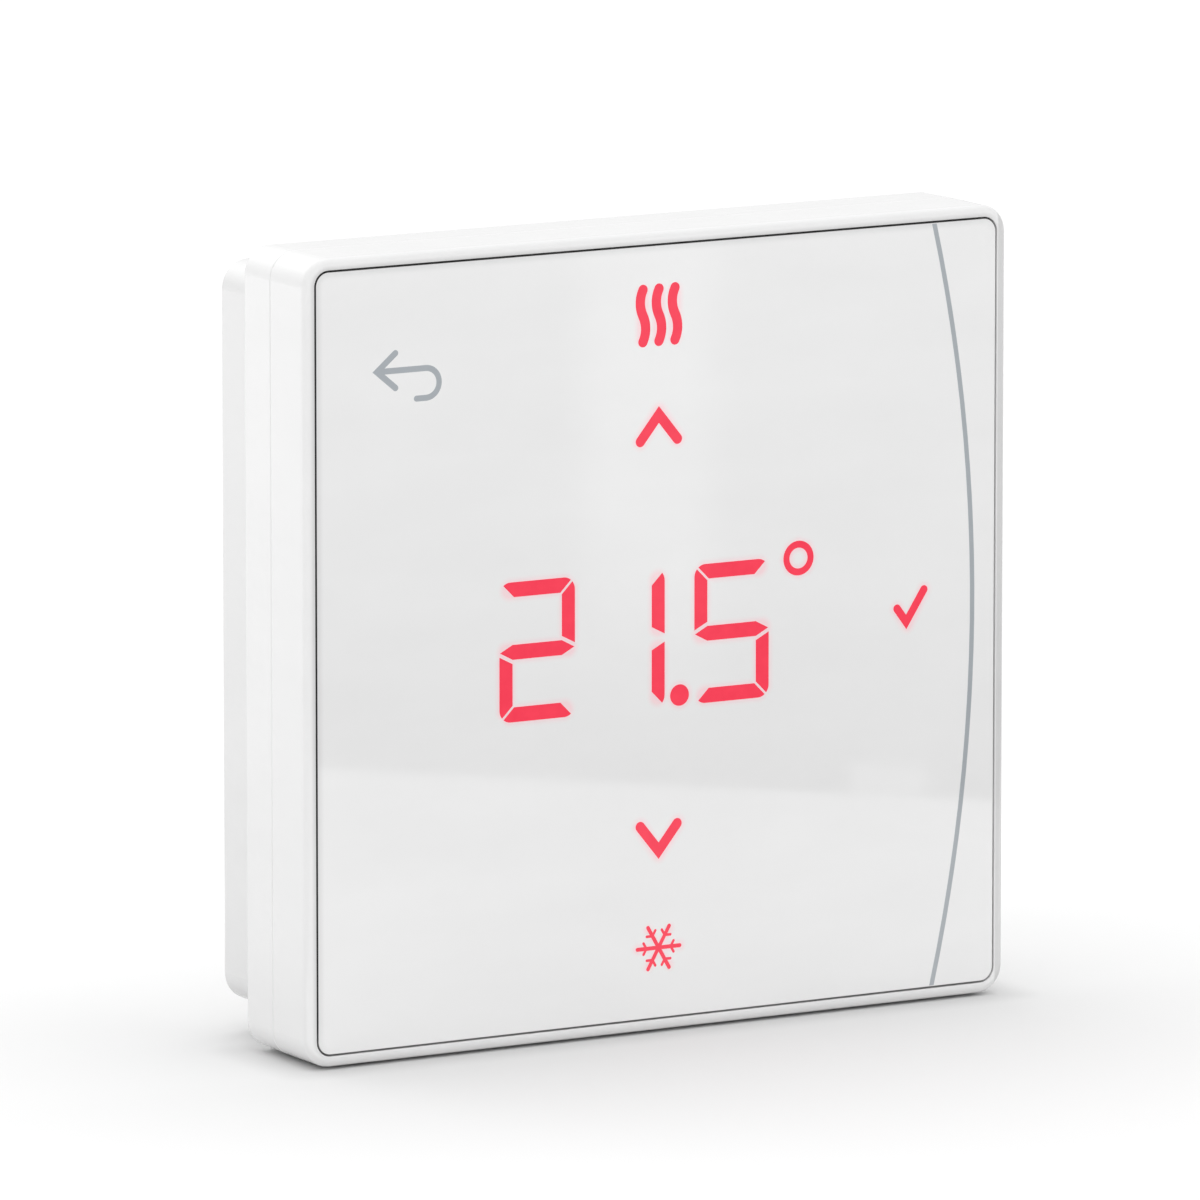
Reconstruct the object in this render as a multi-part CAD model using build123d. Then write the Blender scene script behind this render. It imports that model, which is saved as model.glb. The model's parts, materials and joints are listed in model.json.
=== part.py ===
from build123d import *
from math import sqrt
import os

# Square on-wall touch thermostat, in millimetres.
# The wall is the plane Y = 0 and the front faces -Y. +Z is up, and X runs to the right as
# seen from the room. Every "depth" is a distance from the wall toward the room, so a depth
# of 10 lies at Y = -10. Outlines are drawn as (X, Z) unless a comment says otherwise.

# ---- Driving dimensions: outer shape ----
housing_side = 86.0
housing_corner = 3.0
housing_front = 23.7
housing_back = 10.4
housing_wall = 1.8
front_edge_radius = 0.75
rear_edge_radius = 0.3
parting_depth = 16.4
parting_edge_radius = 0.35
rear_draft = 0.1
base_side = 79.8
base_corner = 3.1

# ---- Driving dimensions: front stack, from the glass inward ----
panel_thickness = 1.5
panel_recess = 83.6
panel_gap = 0.2
recess_corner = 1.7
panel_edge_radius = 0.1
tape_thickness = 0.4
foil_thickness = 0.2
floor_thickness = 1.2
board_front = 18.2
board_thickness = 1.6
board_side = 76.0
board_post_x = 33.5
board_post_z = 16.0
board_screw_radius = 0.9
window_depth = 0.35
ink_depth = 0.05

# ---- Driving dimensions: display ----
symbol_centre = -0.18
digit_width = 9.2
digit_height = 15.0
digit_centre_z = -0.53
digit_centres_x = (-15.05, -4.05, 8.8)
digit_corner = 1.35
segment_width = 1.6
segment_gap = 0.25
symbol_stroke = 1.15
key_height = 23.5
point_place = (2.38, -6.9)
ring_place = (17.08, 6.65)
flake_place = (symbol_centre, -34.0)
check_light_place = (31.1, 0.3)
wave_pitch = 1.96
wave_top = 36.95
wave_bottom = 31.4
reflector_pegs = ((-19.0, 30.0), (19.0, -30.0))

# ---- Driving dimensions: wall base and its screw slots ----
base_wall = 2.0
base_floor = 1.6
slot_spacing = 60.0
slot_width = 4.4
slot_length = 7.4
clip_rest_x = 38.75
clip_grip_x = 37.3
clip_thickness = 0.35
clip_width = 11.6

# ---- Driving dimensions: rear cover ----
flange_side = 82.0
flange_thickness = 1.8
spigot_side = 75.4
spigot_wall = 2.0
spigot_back = 2.4
cover_wall = 1.6
well_offset = 33.5
well_seat_back = 11.0
well_seat_front = 12.6
cover_screw_radius = 1.15

# ---- Driving dimensions: AAA cells, lying along X ----
cell_radius = 5.25
cell_can_length = 43.6
cell_nub_length = 0.9
cell_depth = 8.25
cell_heights = (-16.6, -28.4)
bay_half_length = 24.1
contact_thickness = 0.3
contact_lead = 4.0

# ---- Driving dimensions: sensor, and the pairing button reached from behind ----
sensor_place = (24.0, -36.2)
sensor_radius = 1.2
button_place = (24.0, 6.0)
button_travel = 0.4
switch_height = 3.4

# ---- Sizes that follow from the ones above ----
panel_side = panel_recess - 2 * panel_gap
panel_corner = recess_corner - panel_gap
panel_back = housing_front - panel_thickness
foil_back = panel_back - foil_thickness
floor_front = panel_back - tape_thickness
floor_back = floor_front - floor_thickness
board_back = board_front - board_thickness
cavity_side = housing_side - 2 * housing_wall
flange_front = housing_back + flange_thickness
base_inner = base_side - 2 * base_wall
switch_floor = board_back - switch_height + 1.2
plunger_back = board_back - switch_height - 0.5


def slab(outline, start, end):
    """Extrude an (X, Z) outline from one depth to another."""
    return extrude(Plane.XZ.offset(start) * outline, amount=end - start)


def square(side, corner):
    return RectangleRounded(side, side, corner)


def rod(x, z, radius, start, end):
    return slab(Pos(x, z) * Circle(radius), start, end)


def block(x, z, width, height, start, end):
    return slab(Pos(x, z) * Rectangle(width, height), start, end)


def along_z(outline, z, length):
    """Extrude an (X, Y) outline along Z, centred on the height z."""
    return extrude(Plane.XY.offset(z - length / 2) * outline, amount=length)


def along_x(outline, x, length):
    """Extrude a (Y, Z) outline along X, starting at x."""
    return extrude(Plane.YZ.offset(x) * outline, amount=length)


def four_corners(offset_x, offset_z):
    return [(x, z) for x in (-offset_x, offset_x) for z in (-offset_z, offset_z)]


# ---- Symbols, as outlines on the panel ----

def bar(start, end, width):
    """A straight stroke with round ends."""
    run = Vector(*end) - Vector(*start)
    middle = (Vector(*end) + Vector(*start)) / 2
    angle = Vector(1, 0).get_signed_angle(run, Vector(0, 0, 1))
    return Pos(middle.X, middle.Y) * SlotCenterToCenter(run.length, width, rotation=angle)


def sharp_bend(first, bend, last, width):
    """Two strokes that meet at a bend, pointed outside and sharp inside, with round far ends."""
    corner = Vector(*bend)
    ends = [Vector(*first), Vector(*last)]
    arms = [(end - corner).normalized() for end in ends]
    outward = -(arms[0] + arms[1]).normalized()
    sine_of_half_angle = sqrt((1 - arms[0].dot(arms[1])) / 2)
    reach = outward * (width / 2 / sine_of_half_angle)
    normals = [(outward - arm * outward.dot(arm)).normalized() * (width / 2) for arm in arms]
    outer = [end + normal for end, normal in zip(ends, normals)]
    inner = [end - normal for end, normal in zip(ends, normals)]
    caps = [end + arm * (width / 2) for end, arm in zip(ends, arms)]
    outline = Polyline(outer[0], corner + reach, outer[1])
    outline += ThreePointArc(outer[1], caps[1], inner[1])
    outline += Polyline(inner[1], corner - reach, inner[0])
    outline += ThreePointArc(inner[0], caps[0], outer[0])
    return make_face(outline)


def chevron(direction):
    """A key mark that points up (+1) or down (-1)."""
    half_span = 2.27
    rise = 2.76
    end_z = direction * (key_height - rise)
    left = (symbol_centre - half_span, end_z)
    right = (symbol_centre + half_span, end_z)
    return sharp_bend(left, (symbol_centre, direction * key_height), right, symbol_stroke)


def wave(centre_x):
    """One upright S-shaped heating wave: two arcs that bulge left, then right."""
    bulge = 0.33
    middle = (wave_top + wave_bottom) / 2
    quarter = (wave_top - wave_bottom) / 4
    upper = ThreePointArc((centre_x, wave_top), (centre_x - bulge, middle + quarter), (centre_x, middle))
    lower = ThreePointArc((centre_x, middle), (centre_x + bulge, middle - quarter), (centre_x, wave_bottom))
    ends = [Pos(centre_x, z) * Circle(symbol_stroke / 2) for z in (wave_top, wave_bottom)]
    return trace(upper + lower, symbol_stroke) + ends[0] + ends[1]


def heating_waves():
    return [wave(symbol_centre + step * wave_pitch) for step in (-1, 0, 1)]


def snowflake():
    """Six arms, each with a pair of short branches that lean outward."""
    arm = 2.6
    arm_width = 0.44
    branch_foot = 1.5
    branch = 0.7
    branch_width = 0.3
    flake = Circle(0.35)
    for turn in range(0, 360, 60):
        spoke = bar((0, 0), (arm, 0), arm_width)
        for side in (-1, 1):
            tip = (branch_foot + branch / 2, side * branch * sqrt(3) / 2)
            spoke += bar((branch_foot, 0), tip, branch_width)
        flake += Rot(0, 0, turn) * spoke
    return Pos(*flake_place) * flake


def check_mark():
    return sharp_bend((29.4, 0.12), (30.56, -1.42), (32.76, 1.94), 0.92)


def decimal_point():
    return Pos(*point_place) * Circle(1.16)


def degree_ring():
    return Pos(*ring_place) * (Circle(1.88) - Circle(1.12))


def back_arrow():
    """An arrow to the left whose tail turns down and back in a half circle."""
    shaft_z = 30.63
    turn_radius = 1.58
    turn_x = -28.46
    tip = (-34.35, shaft_z)
    width = 0.64
    head = sharp_bend((-32.13, shaft_z + 1.84), tip, (-32.13, shaft_z - 1.84), width + 0.04)
    shaft = bar(tip, (turn_x, shaft_z), width)
    tail_z = shaft_z - 2 * turn_radius
    turn_side = (turn_x + turn_radius, shaft_z - turn_radius)
    turn = trace(ThreePointArc((turn_x, shaft_z), turn_side, (turn_x, tail_z)), width)
    tail = bar((turn_x, tail_z), (-29.6, tail_z), width)
    return head + shaft + turn + tail


def side_line():
    """A shallow arc down the right of the panel, from top edge to bottom edge."""
    line_width = 0.55
    end_x = 33.78
    end_z = 42.0
    middle_x = 38.85
    flat_side = panel_side - 2 * panel_edge_radius - 0.04
    line = trace(ThreePointArc((end_x, end_z), (middle_x, 0), (end_x, -end_z)), line_width)
    return make_face(line.wires()[0]) & Rectangle(flat_side, flat_side)


# ---- Seven-segment digits ----

def segment(letter):
    """One segment of a digit centred on the origin, lettered a to g clockwise from the top."""
    half_w = digit_width / 2
    half_h = digit_height / 2
    inner_x = half_w - segment_width
    inner_z = half_h - segment_width
    shift = segment_gap / sqrt(2)
    middle_half = segment_width / 2
    middle_inner = 1.25
    middle_outer = 0.43
    level = [(half_w - shift, half_h), (inner_x - shift, inner_z)]
    upright = [
        (half_w, half_h - shift),
        (half_w, middle_outer),
        (inner_x, middle_inner),
        (inner_x, inner_z - shift),
    ]
    centre = [(half_w - 0.07, 0), (inner_x, middle_half)]
    mirror_x = {"e": -1, "f": -1}.get(letter, 1)
    mirror_z = {"c": -1, "d": -1, "e": -1}.get(letter, 1)
    if letter in "ad":
        (outer_x, outer_z), (tip_x, tip_z) = level
        points = [(-outer_x, outer_z), (outer_x, outer_z), (tip_x, tip_z), (-tip_x, tip_z)]
    elif letter == "g":
        (tip_x, tip_z), (side_x, side_z) = centre
        points = [(tip_x, tip_z), (side_x, -side_z), (-side_x, -side_z)]
        points += [(-tip_x, tip_z), (-side_x, side_z), (side_x, side_z)]
    else:
        points = upright
    outline = make_face(Polyline(*[(x * mirror_x, z * mirror_z) for x, z in points], close=True))
    return outline & RectangleRounded(digit_width, digit_height, digit_corner)


def digit(centre_x, letters):
    return [Pos(centre_x, digit_centre_z) * segment(letter) for letter in letters]


def lit_digits():
    """The display reads 21.5."""
    shown = zip(digit_centres_x, ("abged", "bc", "afgcd"))
    return [outline for centre_x, letters in shown for outline in digit(centre_x, letters)]


lit_symbols = {
    "digit_segments": lit_digits(),
    "decimal_point": [decimal_point()],
    "degree_ring": [degree_ring()],
    "heating_symbol": heating_waves(),
    "cooling_symbol": [snowflake()],
    "up_key_mark": [chevron(1)],
    "down_key_mark": [chevron(-1)],
    "check_key_mark": [check_mark()],
}
printed_marks = {
    "back_key_mark": [back_arrow()],
    "side_line_mark": [side_line()],
}


# ---- Wall base ----

def make_wall_base():
    """A shallow tray that screws to the wall and takes the thermostat's rear spigot."""
    base = slab(square(base_side, base_corner), 0, housing_back)
    base -= slab(square(base_inner, 1.5), base_floor, housing_back)
    # Screw slots, one pair across and one pair up and down, each with a sunk seat.
    seat_depth = 0.6
    for turn in (0, 90, 180, 270):
        place = Rot(0, 0, turn) * Pos(slot_spacing / 2, 0)
        base -= slab(place * SlotOverall(slot_length, slot_width), 0, base_floor)
        seat = place * SlotOverall(slot_length + 4.2, slot_width + 4.2)
        base -= slab(seat, base_floor - seat_depth, base_floor)
    # Stiffening ring and cross ribs on the floor.
    rib_front = base_floor + 0.4
    ring_radius = 21.0
    rib_width = 1.2
    base += slab(Circle(ring_radius) - Circle(ring_radius - rib_width), base_floor, rib_front)
    for turn in (45, 135, 225, 315):
        rib = Rot(0, 0, turn) * Pos(ring_radius + 10, 0) * Rectangle(21, rib_width)
        base += slab(rib, base_floor, rib_front)
    # An up mark, moulded inside the ring.
    up_mark = sharp_bend((-4, -2), (0, 2.5), (4, -2), 1.4)
    base += slab(up_mark, base_floor, base_floor + 0.2)
    # Pockets in the side walls for the two spring clips.
    for side in (-1, 1):
        pocket_x = side * (base_inner / 2 + 0.6)
        base -= block(pocket_x, 0, 1.4, 12.4, base_floor, 9.6)
    # Pry notch in the rim of the bottom wall.
    notch_z = (base_wall - base_side) / 2
    base -= block(0, notch_z, 10, base_wall + 1, housing_back - 1.5, housing_back)
    return base


def make_retaining_clips():
    """Two bent leaf springs that grip the grooves in the spigot's sides."""
    clips = []
    for side in (-1, 1):
        line = Polyline(
            (side * clip_rest_x, -1.9),
            (side * clip_rest_x, -4.0),
            (side * clip_grip_x, -6.6),
            (side * clip_rest_x, -9.2),
        )
        clips.append(along_z(trace(line, clip_thickness), 0, clip_width))
    return clips


# ---- Thermostat housing ----

def make_front_bezel():
    """The outer frame, open at the back, with a recess for the panel and a floor behind it."""
    front_half = slab(square(housing_side, housing_corner), parting_depth, housing_front)
    front_half = fillet(front_half.edges().group_by(Axis.Y)[0], front_edge_radius)
    back_side = housing_side - 2 * rear_draft
    back_outline = Plane.XZ.offset(housing_back) * square(back_side, housing_corner)
    parting_outline = Plane.XZ.offset(parting_depth) * square(housing_side, housing_corner)
    rear_half = loft([back_outline, parting_outline])
    rear_half = fillet(rear_half.edges().group_by(Axis.Y)[-1], rear_edge_radius)
    rear_half = fillet(rear_half.edges().group_by(Axis.Y)[0], parting_edge_radius)
    bezel = front_half + rear_half
    bezel -= slab(square(panel_recess, recess_corner), floor_front, housing_front)
    bezel -= slab(square(cavity_side, 1.2), housing_back, floor_back)
    # Windows in the floor: display, check mark light pipe and touch foil tail.
    bezel -= slab(RectangleRounded(45, 75, 1.5), floor_back, floor_front)
    bezel -= rod(*check_light_place, 2.65, floor_back, floor_front)
    bezel -= block(-36, 0, 1.6, 12, floor_back, floor_front)
    # Posts for the board's screws, and bosses for the rear cover's screws.
    for x, z in four_corners(board_post_x, board_post_z):
        bezel += rod(x, z, 2.2, board_front, floor_back)
        bezel -= rod(x, z, board_screw_radius + 0.02, board_front, floor_back - 0.2)
    for x, z in four_corners(well_offset, well_offset):
        bezel += rod(x, z, 2.7, well_seat_front, floor_back)
        bezel -= rod(x, z, cover_screw_radius + 0.02, well_seat_front, floor_back - 0.4)
    # Vent slots in the bottom wall, in front of the temperature sensor.
    for step in range(7):
        slot_x = 14 + 2.6 * step
        slot = block(slot_x, -housing_side / 2, 1.2, 2 * housing_wall + 1, 13.2, 19.2)
        bezel -= slot
    return bezel


def make_front_panel():
    """The white touch panel, with shallow seats for the light windows and the printed marks."""
    panel = slab(square(panel_side, panel_corner), panel_back, housing_front)
    panel = fillet(panel.edges().group_by(Axis.Y)[0], panel_edge_radius)
    for outlines in lit_symbols.values():
        for outline in outlines:
            panel -= slab(outline, housing_front - window_depth, housing_front)
    for outlines in printed_marks.values():
        for outline in outlines:
            panel -= slab(outline, housing_front - ink_depth, housing_front)
    return panel


def make_panel_tape():
    """The double-sided tape frame that holds the panel in its recess."""
    frame = square(panel_side - 0.4, panel_corner) - square(79.0, 1.0)
    return slab(frame, floor_front, panel_back)


def make_touch_foil():
    """The clear sensor foil behind the panel, with a tail that reaches the main board."""
    foil = slab(square(78.4, 1.0), foil_back, panel_back)
    foil += block(-36, 0, 0.2, 9, board_front + 0.7, foil_back)
    foil += block(-35.3, 0, 1.6, 9, board_front + 0.6, board_front + 0.8)
    return foil


def make_diffuser_film():
    return slab(RectangleRounded(70, 77, 1.0), floor_front, foil_back)


# ---- Display block ----

def make_display_reflector():
    """The white block that keeps each segment's light apart, standing on the main board."""
    reflector = slab(RectangleRounded(44, 74, 1.0), board_front, floor_front)
    cells = [outline for x in digit_centres_x for outline in digit(x, "abcdefg")]
    cells += heating_waves() + [chevron(1), chevron(-1), decimal_point()]
    cells += [Pos(*flake_place) * Circle(2.9), Pos(*ring_place) * Circle(1.95)]
    for cell in cells:
        reflector -= slab(cell, board_front, floor_front)
    for x, z in reflector_pegs:
        reflector += rod(x, z, 1.0, board_back, board_front)
    return reflector


def make_check_light_pipe():
    pipe = rod(*check_light_place, 2.55, board_front + 0.7, floor_front)
    return fillet(pipe.edges().group_by(Axis.Y)[-1], 0.4)


def make_display_leds():
    """One small light-emitting diode under every segment and symbol stroke."""
    led_length = 1.0
    led_width = 0.5
    led_height = 0.5
    half_w = digit_width / 2 - segment_width / 2
    half_h = digit_height / 2 - segment_width / 2
    upright_z = digit_height / 4
    spots = []
    for centre_x in digit_centres_x:
        spots += [(centre_x, digit_centre_z + z, 0) for z in (-half_h, 0, half_h)]
        spots += [(centre_x + x, digit_centre_z + z, 90) for x, z in four_corners(half_w, upright_z)]
    spots += [(symbol_centre + step * wave_pitch, 34.17, 90) for step in (-1, 0, 1)]
    spots += [(symbol_centre + side * 1.13, z, 50 * side * up)
              for side in (-1, 1) for up, z in ((-1, 22.12), (1, -22.12))]
    spots += [(x, z, 0) for x, z in (point_place, ring_place, flake_place, check_light_place)]
    chip = Rectangle(led_length, led_width)
    return [slab(Pos(x, z) * Rot(0, 0, turn) * chip, board_front, board_front + led_height)
            for x, z, turn in spots]


# ---- Main board and what is on it ----

def make_main_board():
    board = slab(square(board_side, 2), board_back, board_front)
    for x, z in four_corners(well_offset, well_offset):
        board -= rod(x, z, 3.0, board_back, board_front)
    for x, z in four_corners(board_post_x, board_post_z):
        board -= rod(x, z, 1.1, board_back, board_front)
    for x, z in reflector_pegs:
        board -= rod(x, z, 1.05, board_back, board_front)
    # Slots that keep the board's heat from the temperature sensor's tongue.
    board -= block(18, -35.5, 1.2, 5.4, board_back, board_front)
    board -= block(22, -33.4, 9.2, 1.2, board_back, board_front)
    return board


def make_foil_connector():
    body = block(-33, 0, 3.0, 12, board_front, board_front + 1.6)
    mouth = block(-34, 0, 1.4, 9.4, board_front + 0.5, board_front + 0.9)
    return body - mouth


def flat_package(x, z, side, height, pins_per_side):
    """A square chip with legs on all four sides, on the back of the board."""
    package = block(x, z, side, side, board_back - height, board_back - 0.1)
    pitch = side / (pins_per_side + 1)
    for turn in (0, 90, 180, 270):
        for pin in range(pins_per_side):
            offset = (pin - (pins_per_side - 1) / 2) * pitch
            place = Pos(x, z) * Rot(0, 0, turn) * Pos(side / 2 + 0.3, offset)
            package += slab(place * Rectangle(1.0, 0.4 * pitch), board_back - 0.3, board_back)
    return package


def make_microcontroller():
    return flat_package(-12, 13, 8.0, 1.4, 8)


def make_radio_shield():
    """The pressed metal can over the radio circuit."""
    width = 16.0
    height = 13.0
    wall = 0.3
    place = Pos(12, 20)
    can = slab(place * RectangleRounded(width, height, 1.0), board_back - 2.2, board_back)
    can = fillet(can.edges().group_by(Axis.Y)[-1], 0.4)
    inside = RectangleRounded(width - 2 * wall, height - 2 * wall, 0.7)
    return can - slab(place * inside, board_back - 2.2 + wall, board_back)


def make_radio_antenna():
    """A bent metal strip on two legs along the top of the board."""
    antenna = block(12, 34.4, 22, 3.0, board_back - 4.0, board_back - 3.6)
    for leg_x in (1.4, 6.0):
        antenna += block(leg_x, 35.7, 0.8, 0.4, board_back - 3.6, board_back)
    return antenna


def make_crystal():
    can = slab(Pos(-24, 13) * SlotOverall(10.2, 4.2, rotation=90), board_back - 3.4, board_back)
    return fillet(can.edges().group_by(Axis.Y)[-1], 0.5)


def make_storage_capacitor():
    can = rod(-24, 27, 3.15, board_back - 6.0, board_back)
    return fillet(can.edges().group_by(Axis.Y)[-1], 0.5)


def make_chip_components():
    """Small resistors and capacitors around the chips."""
    spots = [(-4, z) for z in (6, 9, 12, 15, 18)]
    spots += [(x, 3.5) for x in (-18, -15, -12, -9)]
    spots += [(x, 29.5) for x in (-10, -7, -4, 2)]
    spots += [(x, 10) for x in (8, 11, 14, 17)]
    return [block(x, z, 1.6, 0.8, board_back - 0.7, board_back) for x, z in spots]


def make_temperature_sensor():
    """A bead on two leads, over the vents."""
    bead_depth = board_back - 2 * sensor_radius
    bead_x, bead_z = sensor_place
    sensor = Pos(bead_x, -bead_depth, bead_z) * Sphere(sensor_radius)
    for side in (-1, 1):
        sensor += rod(bead_x + side * sensor_radius / 2, bead_z, 0.2, bead_depth, board_back)
    return sensor


# ---- Pairing switch and button ----

def make_pairing_switch():
    """The switch body on the board, hollow for its plunger."""
    body = slab(Pos(*button_place) * RectangleRounded(6, 6, 0.4), board_back - switch_height, board_back)
    return body - rod(*button_place, 1.8, board_back - switch_height, switch_floor)


def make_switch_plunger():
    return rod(*button_place, 1.75, plunger_back, switch_floor - button_travel - 0.1)


def make_pairing_button():
    """A cap in the cover's hole, a stop flange inside the cover, and a stem to the plunger."""
    flange_start = spigot_back + cover_wall
    flange_end = flange_start + 0.9
    button = rod(*button_place, 2.5, spigot_back + 0.4, flange_start + 0.1)
    button = fillet(button.edges().group_by(Axis.Y)[-1], 0.3)
    button += rod(*button_place, 3.4, flange_start, flange_end)
    button += rod(*button_place, 1.6, flange_end, plunger_back)
    return button


# ---- Rear cover, cells and contacts ----

def cell_channel(height):
    """The space that one cell drops into: a round channel, open toward the wall."""
    half = cell_radius + 0.2
    length = 2 * bay_half_length - 1.0
    round_part = along_x(Pos(-cell_depth, height) * Circle(half), -length / 2, length)
    return round_part + block(0, height, length, 2 * half, spigot_back, cell_depth)


def make_rear_cover():
    """Closes the frame from behind and carries the cells in a spigot that enters the wall base."""
    cover = slab(square(flange_side, 1.0), housing_back, flange_front)
    cover += slab(square(spigot_side, 1.4), spigot_back, flange_front)
    inner_side = spigot_side - 2 * spigot_wall
    cover -= slab(square(inner_side, 1.0), spigot_back + cover_wall, flange_front)
    # Screw wells in the corners.
    for x, z in four_corners(well_offset, well_offset):
        cover += rod(x, z, 3.8, spigot_back + cover_wall, well_seat_front)
        cover -= rod(x, z, 2.6, spigot_back, well_seat_back)
        cover -= rod(x, z, 1.4, well_seat_back, well_seat_front)
    # Cell bay: two round channels side by side, and a slot for the contacts at each end.
    bay_wall = 1.2
    bay_front = cell_depth + cell_radius + 0.2 + bay_wall
    bay_centre = sum(cell_heights) / 2
    bay_height = cell_heights[0] - cell_heights[1] + 2 * (cell_radius + 0.2)
    bay_length = 2 * bay_half_length
    outer = (bay_length + 2 * bay_wall, bay_height + 2 * bay_wall)
    cover += block(0, bay_centre, *outer, spigot_back + cover_wall, bay_front)
    for height in cell_heights:
        cover -= cell_channel(height)
    for side in (-1, 1):
        slot_x = side * (bay_half_length - 0.25)
        cover -= block(slot_x, bay_centre, 0.5, bay_height, spigot_back, cell_depth + 4.4)
    for height in cell_heights:
        cover -= block(0.25 - bay_half_length, height, 0.5, 3.4, cell_depth + 4.4, bay_front)
    # Finger notch between the cells and the bay's lower wall.
    cover -= rod(0, cell_heights[0] + cell_radius, 6, spigot_back, spigot_back + cover_wall)
    # Pairing button hole, air slots by the sensor and grooves for the spring clips.
    cover -= rod(*button_place, 2.7, spigot_back, spigot_back + cover_wall)
    for step in range(6):
        cover -= block(-12 + 4.8 * step, 25, 1.6, 12, spigot_back, spigot_back + cover_wall)
    for side in (-1, 1):
        cover -= block(side * spigot_side / 2, 0, 2.0, 13, 4.9, 8.4)
    return cover


def make_cell(height, nub_side):
    """An AAA cell whose contact nub points to +X (1) or -X (-1)."""
    tip = nub_side * (bay_half_length - contact_thickness - 0.1)
    can_end = tip - nub_side * cell_nub_length
    centre = can_end - nub_side * cell_can_length / 2
    axis = Pos(-cell_depth, height)
    can = along_x(axis * Circle(cell_radius), centre - cell_can_length / 2, cell_can_length)
    can = fillet(can.edges().filter_by(GeomType.CIRCLE), 0.4)
    return can + along_x(axis * Circle(1.9), min(tip, can_end), cell_nub_length)


def contact_plate(side, height):
    """A flat contact against the end wall of the bay."""
    start = bay_half_length - 0.1 - contact_thickness
    x = side * (start + contact_thickness / 2)
    return block(x, height, contact_thickness, 6, cell_depth - contact_lead, cell_depth + 4.2)


def contact_leaf(side, height):
    """A flat contact with a bent finger that presses on the cell's flat end."""
    root_x = side * (bay_half_length - 0.25)
    reach_x = side * (bay_half_length - 3.1)
    rest_x = side * (bay_half_length - 1.3)
    path = Polyline(
        (root_x, 3.9 - cell_depth),
        (reach_x, -cell_depth),
        (rest_x, -cell_depth - 2.9),
    )
    finger = along_z(trace(path, contact_thickness), height, 5)
    return contact_plate(side, height) + finger


def solder_leg(height):
    x = contact_thickness / 2 + 0.1 - bay_half_length
    return block(x, height, contact_thickness, 3, cell_depth + 4.2, board_back)


def make_bridge_contact():
    """Joins the upper cell's nub end to the lower cell's flat end."""
    upper, lower = cell_heights
    x = bay_half_length - 0.1 - contact_thickness / 2
    back = cell_depth - contact_lead
    strip = block(x, (upper + lower) / 2, contact_thickness, upper - lower, back, back + 2.5)
    return contact_plate(1, upper) + contact_leaf(1, lower) + strip


# ---- Fasteners ----

def pan_screw(x, z, head_radius, head_height, shank_radius, length, seat):
    """A pan-head screw driven toward the room, its head's underside at the depth 'seat'."""
    head = rod(x, z, head_radius, seat - head_height, seat)
    head = fillet(head.edges().group_by(Axis.Y)[-1], 0.35 * head_height)
    recess_depth = 0.55 * head_height
    for turn in (0, 90):
        cross = Pos(x, z) * Rot(0, 0, turn) * Rectangle(1.1 * head_radius, 0.28 * head_radius)
        head -= slab(cross, seat - head_height, seat - head_height + recess_depth)
    return head + rod(x, z, shank_radius, seat, seat + length)


def make_board_screws():
    return [pan_screw(x, z, 1.9, 1.3, board_screw_radius, 3.8, board_back)
            for x, z in four_corners(board_post_x, board_post_z)]


def make_cover_screws():
    return [pan_screw(x, z, 2.3, 1.7, cover_screw_radius, 7.0, well_seat_back)
            for x, z in four_corners(well_offset, well_offset)]


nodes = {
    "wall_base": [make_wall_base()],
    "retaining_clips": make_retaining_clips(),
    "front_bezel": [make_front_bezel()],
    "front_panel": [make_front_panel()],
    "panel_tape": [make_panel_tape()],
    "touch_foil": [make_touch_foil()],
    "diffuser_film": [make_diffuser_film()],
    "display_reflector": [make_display_reflector()],
    "check_light_pipe": [make_check_light_pipe()],
    "display_leds": make_display_leds(),
    "main_board": [make_main_board()],
    "foil_connector": [make_foil_connector()],
    "microcontroller": [make_microcontroller()],
    "radio_shield": [make_radio_shield()],
    "radio_antenna": [make_radio_antenna()],
    "crystal": [make_crystal()],
    "storage_capacitor": [make_storage_capacitor()],
    "chip_components": make_chip_components(),
    "temperature_sensor": [make_temperature_sensor()],
    "pairing_switch": [make_pairing_switch()],
    "switch_plunger": [make_switch_plunger()],
    "pairing_button": [make_pairing_button()],
    "rear_cover": [make_rear_cover()],
    "upper_cell": [make_cell(cell_heights[0], 1)],
    "lower_cell": [make_cell(cell_heights[1], -1)],
    "negative_contact": [contact_leaf(-1, cell_heights[0]) + solder_leg(cell_heights[0])],
    "positive_contact": [contact_plate(-1, cell_heights[1]) + solder_leg(cell_heights[1])],
    "bridge_contact": [make_bridge_contact()],
    "board_screws": make_board_screws(),
    "cover_screws": make_cover_screws(),
}
for name, outlines in lit_symbols.items():
    nodes[name] = [slab(outline, housing_front - window_depth, housing_front) for outline in outlines]
for name, outlines in printed_marks.items():
    nodes[name] = [slab(outline, housing_front - ink_depth, housing_front) for outline in outlines]

os.makedirs("parts", exist_ok=True)
for name, shapes in nodes.items():
    solids = [solid for shape in shapes for solid in shape.solids()]
    export_step(Compound(solids), os.path.join("parts", name + ".step"))
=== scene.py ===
"""Wall thermostat: finishes, detailed pieces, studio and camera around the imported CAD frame.

Metres, +Z up, the wall plane at y = 0 and the front facing -Y.
"""

import json
import math

import bmesh
import bpy
from mathutils import Matrix, Vector


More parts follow.
